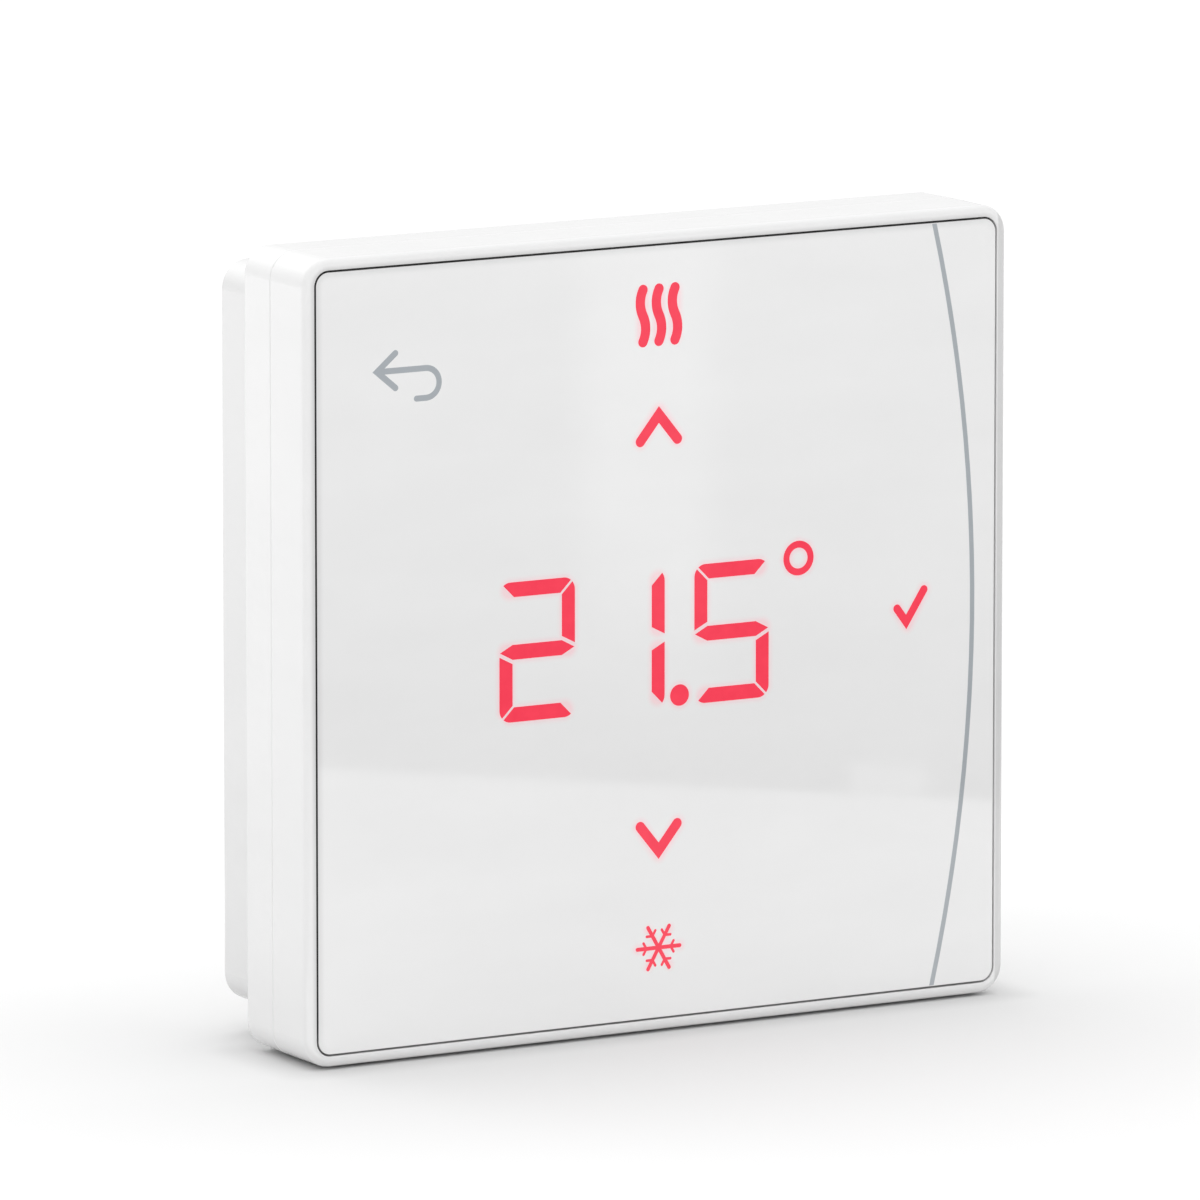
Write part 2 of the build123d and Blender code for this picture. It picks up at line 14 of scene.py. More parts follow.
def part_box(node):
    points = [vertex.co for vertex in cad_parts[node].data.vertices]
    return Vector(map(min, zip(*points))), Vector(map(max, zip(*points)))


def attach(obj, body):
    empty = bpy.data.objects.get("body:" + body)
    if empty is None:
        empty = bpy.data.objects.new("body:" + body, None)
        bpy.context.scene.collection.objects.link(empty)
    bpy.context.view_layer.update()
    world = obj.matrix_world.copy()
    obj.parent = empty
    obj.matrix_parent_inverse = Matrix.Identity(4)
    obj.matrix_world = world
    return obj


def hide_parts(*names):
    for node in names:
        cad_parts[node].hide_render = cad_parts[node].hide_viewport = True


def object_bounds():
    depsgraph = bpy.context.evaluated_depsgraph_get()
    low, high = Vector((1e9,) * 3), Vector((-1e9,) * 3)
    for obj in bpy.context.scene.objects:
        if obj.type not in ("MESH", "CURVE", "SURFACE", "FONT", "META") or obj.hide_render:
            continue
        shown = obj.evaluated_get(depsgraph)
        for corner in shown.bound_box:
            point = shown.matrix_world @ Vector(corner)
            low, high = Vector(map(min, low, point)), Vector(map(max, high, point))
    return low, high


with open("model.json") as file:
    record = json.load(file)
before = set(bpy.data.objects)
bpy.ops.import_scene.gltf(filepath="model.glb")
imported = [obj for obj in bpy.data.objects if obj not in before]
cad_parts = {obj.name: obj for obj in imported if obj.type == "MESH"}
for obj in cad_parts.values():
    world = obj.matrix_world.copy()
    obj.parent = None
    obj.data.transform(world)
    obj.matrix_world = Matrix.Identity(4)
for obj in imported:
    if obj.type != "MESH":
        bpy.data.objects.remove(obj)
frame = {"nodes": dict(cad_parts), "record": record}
cad_lo, cad_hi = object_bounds()
nodes = frame["nodes"]
slots = {part["node"]: part["material_slot"] for part in frame["record"]["subparts"]}

MM = 0.001
X = Vector((1, 0, 0))
Y = Vector((0, 1, 0))
Z = Vector((0, 0, 1))


# ---- Node graphs ----

class Graph:
    """A node tree with helpers that add to it."""

    def __init__(self, tree):
        self.tree = tree

    def add(self, kind, **settings):
        node = self.tree.nodes.new(kind)
        for key, value in settings.items():
            setattr(node, key, value)
        return node

    def feed(self, socket, value):
        """Links an output to a socket, or sets the socket when the value is plain."""
        if isinstance(value, bpy.types.NodeSocket):
            self.tree.links.new(value, socket)
        else:
            socket.default_value = value

    def math(self, operation, *values, clamp=False):
        node = self.add("ShaderNodeMath", operation=operation, use_clamp=clamp)
        for socket, value in zip(node.inputs, values):
            self.feed(socket, value)
        return node.outputs[0]

    def vector(self, operation, *values, out=0):
        node = self.add("ShaderNodeVectorMath", operation=operation)
        for socket, value in zip(node.inputs, values):
            self.feed(socket, value)
        return node.outputs[out]

    def scaled(self, value, factor):
        node = self.add("ShaderNodeVectorMath", operation="SCALE")
        self.feed(node.inputs[0], value)
        self.feed(node.inputs["Scale"], factor)
        return node.outputs[0]

    def length(self, value):
        return self.vector("LENGTH", value, out=1)

    def parts(self, value):
        node = self.add("ShaderNodeSeparateXYZ")
        self.feed(node.inputs[0], value)
        return node.outputs

    def outside_box(self, place, centre, half):
        """How far a place lies outside a box."""
        away = self.vector("ABSOLUTE", self.vector("SUBTRACT", place, centre))
        return self.length(self.vector("MAXIMUM", self.vector("SUBTRACT", away, half), (0, 0, 0)))

    def near_line(self, place, start, end):
        """The distance of a place from the straight line between two points, which may coincide."""
        run = end - start
        offset = self.vector("SUBTRACT", place, start)
        if run.length == 0:
            return self.length(offset)
        share = self.vector("DOT_PRODUCT", offset, run / run.length_squared, out=1)
        along = self.scaled(run, self.math("MULTIPLY", share, 1, clamp=True))
        return self.length(self.vector("SUBTRACT", offset, along))

    def stripes(self, value, pitch, width):
        """1 on evenly spaced stripes, 0 between them."""
        return self.math("LESS_THAN", self.math("PINGPONG", value, pitch / 2), width / 2)

    def noise(self, size, detail=2.0, stretch=(1, 1, 1)):
        """Noise from 0 to 1 whose features are about 'size' metres across."""
        place = self.vector("MULTIPLY", self.place, tuple(1 / (size * s) for s in stretch))
        node = self.add("ShaderNodeTexNoise")
        self.feed(node.inputs["Vector"], place)
        node.inputs["Scale"].default_value = 1.0
        node.inputs["Detail"].default_value = detail
        return node.outputs["Fac"]

    def cells(self, size):
        """Distance from the nearest of many scattered points, about 'size' apart, in cell widths."""
        node = self.add("ShaderNodeTexVoronoi")
        self.feed(node.inputs["Vector"], self.scaled(self.place, 1 / size))
        node.inputs["Scale"].default_value = 1.0
        return node.outputs["Distance"]

    def spread(self, value, low, high, old_low=0.3, old_high=0.7, smooth=False):
        """Maps old_low..old_high onto low..high and holds the ends beyond it."""
        node = self.add("ShaderNodeMapRange")
        node.interpolation_type = "SMOOTHSTEP" if smooth else "LINEAR"
        for socket, number in zip(node.inputs, (value, old_low, old_high, low, high)):
            self.feed(socket, number)
        return node.outputs["Result"]

    def mix(self, factor, first, second):
        node = self.add("ShaderNodeMix", data_type="RGBA")
        colours = [socket for socket in node.inputs if socket.type == "RGBA"]
        self.feed(node.inputs["Factor"], factor)
        for socket, value in zip(colours, (first, second)):
            if not isinstance(value, bpy.types.NodeSocket):
                value = (*value[:3], 1)
            self.feed(socket, value)
        return next(socket for socket in node.outputs if socket.type == "RGBA")

    def plus(self, total, term, strength, name):
        """total + strength * term, in a named node."""
        node = self.add("ShaderNodeMath", operation="MULTIPLY_ADD", name=name)
        for socket, value in zip(node.inputs, (term, strength, total)):
            self.feed(socket, value)
        return node.outputs[0]


class Finish(Graph):
    """A material with a principled shader, whose patterns are placed in object space."""

    def __init__(self, name, colour, roughness, **sockets):
        self.material = bpy.data.materials.new(name)
        self.material.use_nodes = True
        super().__init__(self.material.node_tree)
        self.shader = self.tree.nodes["Principled BSDF"]
        self.shader.inputs["Base Color"].default_value = (*colour, 1)
        self.shader.inputs["Roughness"].default_value = roughness
        for socket, value in sockets.items():
            self.shader.inputs[socket.replace("_", " ")].default_value = value
        self.place = self.add("ShaderNodeTexCoord").outputs["Object"]
        self.x, self.y, self.z = self.parts(self.place)

    def source(self, name):
        """What feeds one of the shader's sockets so far."""
        socket = self.shader.inputs[name]
        return socket.links[0].from_socket if socket.is_linked else socket.default_value

    def tint(self, value):
        self.feed(self.shader.inputs["Base Color"], value)

    def paint(self, factor, colour):
        """Lays a colour over the colour so far, where the factor is 1."""
        self.tint(self.mix(factor, self.source("Base Color"), colour))

    def darken(self, factor):
        """Multiplies the colour so far by a factor from 0 to 1."""
        self.tint(self.scaled(self.source("Base Color"), factor))

    def gloss(self, value):
        self.feed(self.shader.inputs["Roughness"], value)

    def bump(self, height, distance):
        """Adds a bump 'distance' metres high on top of any earlier bump."""
        node = self.add("ShaderNodeBump")
        node.inputs["Distance"].default_value = distance
        self.feed(node.inputs["Height"], height)
        normal = self.shader.inputs["Normal"]
        if normal.is_linked:
            self.feed(node.inputs["Normal"], normal.links[0].from_socket)
        self.feed(normal, node.outputs["Normal"])


# ---- Kinds of finish ----

METAL_ROUGHNESS = 0.2


def shade(colour, factor):
    """A colour made darker or lighter by a factor."""
    return tuple(channel * factor for channel in colour)


def moulded(name, colour, roughness, ripple=0.0006, grain=None, **sockets):
    """Moulded plastic: faint flow variation in colour and gloss, a slow ripple and optional grain."""
    finish = Finish(name, colour, roughness, **sockets)
    flow = finish.noise(22 * MM, 3, (1, 1, 0.35))
    finish.tint(finish.mix(finish.spread(flow, 0, 1), shade(colour, 0.985), shade(colour, 1.012)))
    wear = finish.noise(5 * MM, 4)
    finish.gloss(finish.spread(wear, roughness * 0.8, roughness * 1.3))
    finish.bump(finish.noise(9 * MM, 1), ripple * MM)
    if grain:
        size, height = grain
        finish.bump(finish.noise(size, 2), height)
    return finish


def metal(name, colour, streak, stain=None):
    """Bright metal: fine drawn streaks in gloss and height under soft stains."""
    finish = Finish(name, colour, METAL_ROUGHNESS, Metallic=1.0)
    streaks = finish.noise(0.35 * MM, 3, streak)
    stains = finish.spread(finish.noise(4 * MM, 4), 0, 1)
    finish.tint(finish.mix(stains, stain or shade(colour, 0.82), shade(colour, 1.08)))
    finish.gloss(finish.spread(streaks, METAL_ROUGHNESS * 0.7, METAL_ROUGHNESS * 1.3))
    finish.bump(streaks, 0.003 * MM)
    return finish


def pin_marks(finish, offset, radius):
    """Rings left by ejector pins, at the same offset from the middle in all four quarters."""
    line_width = 0.18 * MM
    line_height = 0.05 * MM
    away = finish.vector("ABSOLUTE", finish.vector("MULTIPLY", finish.place, (1, 0, 1)))
    ring = finish.length(finish.vector("SUBTRACT", away, (offset, 0, offset)))
    line = finish.math("ABSOLUTE", finish.math("SUBTRACT", ring, radius))
    finish.bump(finish.spread(line, 1, 0, 0, line_width, smooth=True), line_height)


# ---- Strokes of the lit symbols, whose light is painted onto the panel around them ----

SAME_POINT_DECIMALS = 7
CHEVRON_HALF_WIDTH = 0.57 * MM
CHECK_HALF_WIDTH = 0.46 * MM
RING_HALF_WIDTH = 0.38 * MM
FLAKE_HALF_WIDTH = 0.22 * MM
WAVE_SHARE = 0.6


def loose_parts(name):
    """The separate solids of a node, each as a list of its corner points."""
    mesh = nodes[name].data
    keys = [tuple(round(value, SAME_POINT_DECIMALS) for value in vertex.co) for vertex in mesh.vertices]
    leader = {key: key for key in keys}

    def lead(key):
        while leader[key] != key:
            key = leader[key]
        return key

    for polygon in mesh.polygons:
        first, *others = [keys[index] for index in polygon.vertices]
        for other in others:
            leader[lead(other)] = lead(first)
    parts = {}
    for key in leader:
        parts.setdefault(lead(key), []).append(Vector(key))
    return list(parts.values())


def corners_of(points):
    """The lowest and the highest corner of the box round some points."""
    lo = Vector(min(point[axis] for point in points) for axis in range(3))
    hi = Vector(max(point[axis] for point in points) for axis in range(3))
    return lo, hi


def straight_stroke(lo, hi):
    """The long middle line of a box and its half width."""
    width = hi.x - lo.x
    height = hi.z - lo.z
    middle = (lo + hi) / 2
    reach = (X if width > height else Z) * abs(width - height) / 2
    return middle - reach, middle + reach, min(width, height) / 2


def bent_strokes(name, radius, *turns):
    """Strokes through points given as shares of a node's box, inset by the stroke's radius."""
    lo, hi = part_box(name)
    inset = Vector((radius, 0, radius))
    lo = Vector(lo) + inset
    size = Vector(hi) - inset - lo
    points = [lo + Vector((share_x * size.x, 0, share_z * size.z)) for share_x, share_z in turns]
    return [(start, end, radius) for start, end in zip(points, points[1:])]


def on_circle(degrees):
    """A point on the circle that fills a node's box, as shares of the box."""
    turn = math.radians(degrees)
    return (1 + math.cos(turn)) / 2, (1 + math.sin(turn)) / 2


def lit_strokes():
    """Every lit line as its two ends and its half width, flattened onto the plane y = 0."""
    strokes = []
    for name in ("digit_segments", "decimal_point"):
        strokes += [straight_stroke(*corners_of(points)) for points in loose_parts(name)]
    # The waves curve inside their boxes, so their strokes are slimmer than the boxes.
    waves = [straight_stroke(*corners_of(points)) for points in loose_parts("heating_symbol")]
    strokes += [(start, end, WAVE_SHARE * radius) for start, end, radius in waves]
    strokes += bent_strokes("up_key_mark", CHEVRON_HALF_WIDTH, (0, 0), (0.5, 1), (1, 0))
    strokes += bent_strokes("down_key_mark", CHEVRON_HALF_WIDTH, (0, 1), (0.5, 0), (1, 1))
    strokes += bent_strokes("check_key_mark", CHECK_HALF_WIDTH, (0, 0.5), (0.38, 0), (1, 1))
    octagon = [on_circle(degrees) for degrees in range(0, 361, 45)]
    strokes += bent_strokes("degree_ring", RING_HALF_WIDTH, *octagon)
    for turn in (0, 60, 120):
        strokes += bent_strokes("cooling_symbol", FLAKE_HALF_WIDTH, on_circle(turn), on_circle(turn + 180))
    flat = Vector((1, 0, 1))
    return [(start * flat, end * flat, radius) for start, end, radius in strokes]


# ---- Finishes, one for each material slot ----

PANEL_LO, PANEL_HI = (Vector(corner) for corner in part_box("front_panel"))
PANEL_CORNER = 1.5 * MM
PANEL_GAP = 0.2 * MM


def panel_edge(finish):
    """The distance outward from the panel's rounded outline; inside it is negative."""
    any_depth = 1.0
    centre = (PANEL_LO + PANEL_HI) / 2
    half = (PANEL_HI - PANEL_LO) / 2 - Vector((PANEL_CORNER, -any_depth, PANEL_CORNER))
    return finish.math("SUBTRACT", finish.outside_box(finish.place, centre, half), PANEL_CORNER)


def upper_left(finish):
    """1 along the panel's left and top sides, 0 along its right and bottom sides."""
    blend = 4 * MM
    return finish.spread(finish.math("SUBTRACT", finish.z, finish.x), 0, 1, -blend, blend, smooth=True)


def housing_white():
    """Glossy white, with painted shade at the lip's inner edge, left and top, and on its right-hand
    rounding.
    """
    inner_width = 0.58 * MM
    right_start = PANEL_HI.x + PANEL_GAP
    right_width = 0.2 * MM
    finish = moulded("housing_white", (0.866,) * 3, 0.13, IOR=1.54)
    # Painted shade, on the front of the bezel only: darker at the lip's inner edge on the left and top and
    # on the right-hand rounding.
    ahead = finish.spread(finish.y, 1, 0, PANEL_LO.y + 0.4 * MM, PANEL_LO.y + 1.1 * MM, smooth=True)
    lip = finish.math("SUBTRACT", panel_edge(finish), PANEL_GAP)
    inner = finish.spread(lip, 1, 0, 0, inner_width, smooth=True)
    inner = finish.math("MULTIPLY", inner, upper_left(finish))
    right = finish.spread(finish.x, 0, 1, right_start, right_start + right_width)
    painted_shade = finish.math("MULTIPLY", finish.math("MAXIMUM", inner, right), ahead)
    finish.darken(finish.spread(painted_shade, 1, 0.77, 0, 1))
    return finish.material


def base_white():
    """Semi-gloss white with ejector marks and painted shade along its bottom edge."""
    finish = moulded("base_white", (0.81,) * 3, 0.19, IOR=1.54)
    pin_marks(finish, 17 * MM, 2.2 * MM)
    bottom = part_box("wall_base")[0][2]
    # Painted shade: darker towards the bottom edge.
    finish.darken(finish.spread(finish.z, 0.78, 1, bottom + 0.3 * MM, bottom + 3 * MM, smooth=True))
    return finish.material


def cover_white():
    """Matt white with a spark-eroded grain and ejector marks."""
    finish = moulded("cover_white", (0.805,) * 3, 0.42, grain=(0.25 * MM, 0.012 * MM))
    pin_marks(finish, 31 * MM, 1.5 * MM)
    return finish.material


def panel_white():
    """White-backed acrylic with painted shade at its left and top edges and the display's glow painted in.
    """
    halo_reach = 0.8 * MM
    far_from_all = 1.0
    finish = moulded("panel_white", (0.868,) * 3, 0.04, ripple=0.0003, IOR=1.56)
    edge = panel_edge(finish)
    side = upper_left(finish)
    # Painted shade: darker within about a mm of the left and top edges.
    margin = finish.spread(edge, 0, 1, -0.9 * MM, -0.1 * MM, smooth=True)
    finish.darken(finish.spread(finish.math("MULTIPLY", margin, side), 1, 0.88, 0, 1))
    flat = finish.vector("MULTIPLY", finish.place, (1, 0, 1))
    nearest = far_from_all
    for start, end, radius in lit_strokes():
        away = finish.math("SUBTRACT", finish.near_line(flat, start, end), radius)
        nearest = finish.math("MINIMUM", away, nearest)
    # Painted glow: the display's light round each lit stroke is painted into the colour as a pink tint.
    halo = finish.math("POWER", finish.spread(nearest, 1, 0, 0, halo_reach), 2)
    finish.paint(halo, (0.95, 0.72, 0.75))
    # Painted shadow: a near-black line at the very rim of the left and top edges, where the gap lies in
    # shade.
    rim_shade = finish.spread(edge, 0, 1, -0.05 * MM, -0.03 * MM)
    finish.paint(finish.math("MULTIPLY", rim_shade, side), (0.07, 0.07, 0.072))
    return finish.material


def display_red():
    """A red window lit from behind, a touch uneven along its length."""
    finish = moulded("display_red", (0.05, 0.003, 0.006), 0.05, Specular_IOR_Level=0.175)
    emission = finish.shader.inputs["Emission Color"]
    core = finish.spread(finish.noise(1.6 * MM, 2), 0, 1)
    finish.feed(emission, finish.mix(core, (0.86, 0.050, 0.090), (0.90, 0.058, 0.100)))
    finish.shader.inputs["Emission Strength"].default_value = 1.0
    return finish.material


def print_grey():
    """Screen-printed ink, with the mesh's faint weave."""
    pitch = 0.12 * MM
    finish = moulded("print_grey", (0.40, 0.43, 0.46), 0.1)
    weave = finish.math("MULTIPLY", finish.stripes(finish.x, pitch, pitch / 2),
                        finish.stripes(finish.z, pitch, pitch / 2))
    finish.darken(finish.spread(weave, 1, 0.95, 0, 1))
    return finish.material


def tape_grey():
    """Closed-cell foam tape."""
    finish = Finish("tape_grey", (0.2, 0.2, 0.21), 0.92)
    pores = finish.cells(0.22 * MM)
    finish.tint(finish.mix(finish.spread(pores, 0, 1, 0.1, 0.6), (0.1, 0.1, 0.105), (0.27, 0.27, 0.28)))
    finish.bump(pores, 0.03 * MM)
    return finish.material


def clear_film():
    """Clear foil with a printed net of diamond electrodes."""
    pitch = 4.2 * MM
    line = 0.3 * MM
    finish = Finish("clear_film", (0.86, 0.88, 0.88), 0.08, Transmission_Weight=0.85, IOR=1.5)
    rising = finish.stripes(finish.math("ADD", finish.x, finish.z), pitch, line)
    falling = finish.stripes(finish.math("SUBTRACT", finish.x, finish.z), pitch, line)
    finish.paint(finish.math("MAXIMUM", rising, falling), (0.32, 0.30, 0.27))
    finish.gloss(finish.spread(finish.noise(8 * MM, 3), 0.05, 0.2))
    return finish.material


def milky_film():
    """Frosted foil that spreads the display's light."""
    return moulded("milky_film", (0.9, 0.9, 0.89), 0.5, grain=(0.12 * MM, 0.01 * MM),
                   Transmission_Weight=0.4).material


def reflector_white():
    """Chalky white filled plastic, warmer where its cells' heat has aged it."""
    finish = moulded("reflector_white", (0.88, 0.88, 0.87), 0.55, grain=(0.15 * MM, 0.008 * MM))
    finish.paint(finish.spread(finish.noise(14 * MM, 2), 0, 0.5), (0.84, 0.82, 0.76))
    return finish.material


def clear_acrylic():
    """A clear moulding with flow ripples."""
    return moulded("clear_acrylic", (0.93, 0.95, 0.95), 0.05, ripple=0.004,
                   Transmission_Weight=0.95, IOR=1.49).material


def led_body():
    """Ivory filled plastic round each light."""
    return moulded("led_body", (0.86, 0.84, 0.78), 0.35, grain=(0.05 * MM, 0.004 * MM)).material


def led_lens():
    """Amber resin with paler clouds."""
    finish = moulded("led_lens", (0.85, 0.42, 0.12), 0.12, Transmission_Weight=0.3)
    finish.paint(finish.spread(finish.noise(0.2 * MM, 2), 0, 0.6), (0.9, 0.62, 0.2))
    return finish.material


def board_green():
    """Solder mask over copper tracks and plated holes, with a bare glass-fibre edge."""
    track_pitch = 1.27 * MM
    track_width = 0.32 * MM
    finish = moulded("board_green", (0.010, 0.085, 0.038), 0.36, ripple=0.002)
    level = finish.stripes(finish.z, track_pitch, track_width)
    upright = finish.stripes(finish.x, track_pitch, track_width)
    region = finish.noise(11 * MM, 1)
    crossing = finish.math("MULTIPLY", upright, finish.math("GREATER_THAN", region, 0.56))
    running = finish.math("MULTIPLY", level, finish.math("LESS_THAN", region, 0.46))
    tracks = finish.math("MAXIMUM", crossing, running)
    finish.paint(tracks, (0.022, 0.17, 0.07))
    finish.bump(tracks, 0.02 * MM)
    holes = finish.cells(3.4 * MM)
    finish.paint(finish.math("LESS_THAN", holes, 0.11), (0.62, 0.61, 0.56))
    finish.paint(finish.math("LESS_THAN", holes, 0.05), (0.01, 0.01, 0.01))
    lo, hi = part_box("main_board")
    mask = 0.01 * MM
    inside = finish.math("ABSOLUTE", finish.math("SUBTRACT", finish.y, (lo[1] + hi[1]) / 2))
    finish.paint(finish.math("LESS_THAN", inside, (hi[1] - lo[1]) / 2 - mask), (0.36, 0.33, 0.17))
    return finish.material


def connector_ivory():
    """Ivory nylon with a fine grain."""
    return moulded("connector_ivory", (0.74, 0.68, 0.52), 0.42, grain=(0.1 * MM, 0.006 * MM)).material


def chip_black():
    """Moulded epoxy with a pin-one dimple; the legs around the controller are tinned."""
    finish = moulded("chip_black", (0.018, 0.018, 0.02), 0.5, grain=(0.06 * MM, 0.006 * MM))
    lo, hi = (Vector(corner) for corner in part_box("microcontroller"))
    leg = 0.8 * MM
    middle = (lo + hi) / 2
    half = (hi - lo) / 2 - Vector((leg, 0, leg))
    beyond = finish.outside_box(finish.place, middle, half)
    legs = finish.math("MULTIPLY", finish.math("GREATER_THAN", beyond, 0.02 * MM),
                       finish.math("LESS_THAN", beyond, 1.2 * leg))
    finish.paint(legs, (0.62, 0.62, 0.60))
    finish.feed(finish.shader.inputs["Metallic"], legs)
    dimple = middle + Vector((half.x, 0, half.z)) * 0.72
    offset = finish.vector("SUBTRACT", finish.place, dimple)
    away = finish.length(finish.vector("MULTIPLY", offset, (1, 0, 1)))
    finish.bump(finish.spread(away, 0, 1, 0.4 * MM, 0.5 * MM), 0.08 * MM)
    return finish.material


def tinned_steel():
    """Tinned sheet, streaked along x."""
    return metal("tinned_steel", (0.68, 0.68, 0.66), (9, 9, 0.6)).material


def can_aluminium():
    """Drawn aluminium, with the dark band of the capacitor's negative side."""
    band = 1.6 * MM
    finish = metal("can_aluminium", (0.80, 0.81, 0.82), (0.6, 9, 0.6))
    band_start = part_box("storage_capacitor")[1][2] - band
    finish.paint(finish.math("GREATER_THAN", finish.z, band_start), (0.03, 0.03, 0.035))
    return finish.material


def chip_ceramic():
    """Brown ceramic with paler clouds."""
    finish = moulded("chip_ceramic", (0.30, 0.19, 0.11), 0.55, grain=(0.05 * MM, 0.006 * MM))
    finish.paint(finish.spread(finish.noise(1.5 * MM, 2), 0, 0.5), (0.38, 0.26, 0.16))
    return finish.material


def sensor_epoxy():
    """A dark epoxy bead on tinned leads."""
    bead = 2.3 * MM
    finish = moulded("sensor_epoxy", (0.015, 0.016, 0.02), 0.16, ripple=0.01)
    bead_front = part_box("temperature_sensor")[1][1] - bead
    finish.paint(finish.math("LESS_THAN", finish.y, bead_front), (0.66, 0.65, 0.62))
    return finish.material


def button_grey():
    """Dark grey grained plastic."""
    return moulded("button_grey", (0.17, 0.18, 0.19), 0.45, grain=(0.14 * MM, 0.012 * MM)).material


def nickel_contact():
    """Nickel-plated strip with warm stains."""
    return metal("nickel_contact", (0.74, 0.71, 0.66), (0.5, 8, 8), stain=(0.60, 0.55, 0.47)).material


def spring_steel():
    """Rolled spring strip with dark stains."""
    return metal("spring_steel", (0.58, 0.59, 0.61), (0.5, 8, 8), stain=(0.40, 0.39, 0.40)).material


def zinc_screw():
    """Zinc plating with a passivation film's faint colours."""
    finish = metal("zinc_screw", (0.70, 0.71, 0.72), (1, 6, 1))
    finish.paint(finish.spread(finish.noise(2.5 * MM, 2), 0, 0.35), (0.66, 0.68, 0.80))
    finish.paint(finish.spread(finish.noise(1.7 * MM, 2), 0, 0.25), (0.78, 0.74, 0.58))
    return finish.material


def cell_jacket(name="cell_jacket", side=1):
    """A shrunk sleeve: slate, with a pale grey band towards the nub and a fine line between."""
    band_start = 15 * MM
    line_half_width = 0.3 * MM
    finish = moulded(name, (0.024, 0.028, 0.036), 0.2, ripple=0.01, Coat_Weight=0.6)
    toward_nub = finish.math("MULTIPLY", finish.x, side)
    past_line = finish.math("SUBTRACT", toward_nub, band_start)
    finish.paint(finish.math("GREATER_THAN", past_line, 0), (0.50, 0.51, 0.52))
    line = finish.math("LESS_THAN", finish.math("ABSOLUTE", past_line), line_half_width)
    finish.paint(line, (0.85, 0.85, 0.83))
    puckers = finish.noise(0.9 * MM, 2, (4, 1, 1))
    near_end = finish.spread(finish.math("ABSOLUTE", finish.x), 0, 1, 18 * MM, 22 * MM, smooth=True)
    finish.bump(finish.math("MULTIPLY", puckers, near_end), 0.12 * MM)
    return finish.material


FINISHES = (
    housing_white, base_white, cover_white, panel_white, display_red, print_grey, tape_grey, clear_film,
    milky_film, reflector_white, clear_acrylic, led_body, board_green, connector_ivory, chip_black,
    tinned_steel, can_aluminium, chip_ceramic, sensor_epoxy, button_grey, cell_jacket, nickel_contact,
    spring_steel, zinc_screw,
)
finishes = {make.__name__: make() for make in FINISHES}
for name, node in nodes.items():
    for slot in node.material_slots:
        slot.material = finishes[slots[name]]


# ---- Detailed pieces ----

def add_piece(name, bm, body, materials, replaced=()):
    """Turns a bmesh into a smooth-shaded piece that rides on a body."""
    bmesh.ops.recalc_face_normals(bm, faces=bm.faces)
    mesh = bpy.data.meshes.new(name)
    bm.to_mesh(mesh)
    bm.free()
    for material in materials:
        mesh.materials.append(material)
    mesh.polygons.foreach_set("use_smooth", [True] * len(mesh.polygons))
    mesh.set_sharp_from_angle(angle=math.radians(40))
    piece = bpy.data.objects.new(name, mesh)
    bpy.context.scene.collection.objects.link(piece)
    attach(piece, body)
    if replaced:
        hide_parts(*replaced)


def axes(origin, right, up):
    """A frame with its own x along 'right', z along 'up' and its origin at a point."""
    forward = up.cross(right)
    return Matrix.Translation(origin) @ Matrix((right, forward, up)).transposed().to_4x4()


def lathe(bm, profile, place, steps=72):
    """Turns (height, radius, material) points about the frame's z axis."""
    rings = []
    for height, radius, _ in profile:
        count = steps if radius > 0 else 1
        turns = [2 * math.pi * step / steps for step in range(count)]
        points = [Vector((radius * math.cos(turn), radius * math.sin(turn), height)) for turn in turns]
        rings.append([bm.verts.new(place @ point) for point in points])
    for lower, upper, (_, _, index) in zip(rings, rings[1:], profile):
        for step in range(steps):
            after = (step + 1) % steps
            corners = [lower[step % len(lower)], lower[after % len(lower)],
                       upper[after % len(upper)], upper[step % len(upper)]]
            face = bm.faces.new(list(dict.fromkeys(corners)))
            face.material_index = index


def brick(bm, place, size, ease, index=0):
    """A block with eased edges, centred on a frame."""
    made = bmesh.ops.create_cube(bm, size=1.0, matrix=place @ Matrix.Diagonal((*size, 1)))
    faces = {face for vertex in made["verts"] for face in vertex.link_faces}
    edges = {edge for face in faces for edge in face.edges}
    for face in faces:
        face.material_index = index
    in_order = sorted(edges, key=lambda edge: edge.index)
    bmesh.ops.bevel(bm, geom=in_order, offset=ease, segments=2, affect="EDGES")


def rounded_plate(bm, place, width, height, corner, thickness, steps=6):
    """A thin plate with round corners, lying on the frame's x-y plane."""
    outline = []
    for quarter, (sign_x, sign_y) in enumerate(((1, 1), (-1, 1), (-1, -1), (1, -1))):
        middle = Vector((sign_x * (width / 2 - corner), sign_y * (height / 2 - corner), 0))
        for step in range(steps + 1):
            turn = math.pi / 2 * (quarter + step / steps)
            outline.append(middle + corner * Vector((math.cos(turn), math.sin(turn), 0)))
    lower, upper = [[bm.verts.new(place @ (point + Vector((0, 0, level)))) for point in outline]
                    for level in (0, thickness)]
    bm.faces.new(lower)
    bm.faces.new(upper)
    for step, corner_vertex in enumerate(lower):
        after = (step + 1) % len(lower)
        bm.faces.new((corner_vertex, lower[after], upper[after], upper[step]))


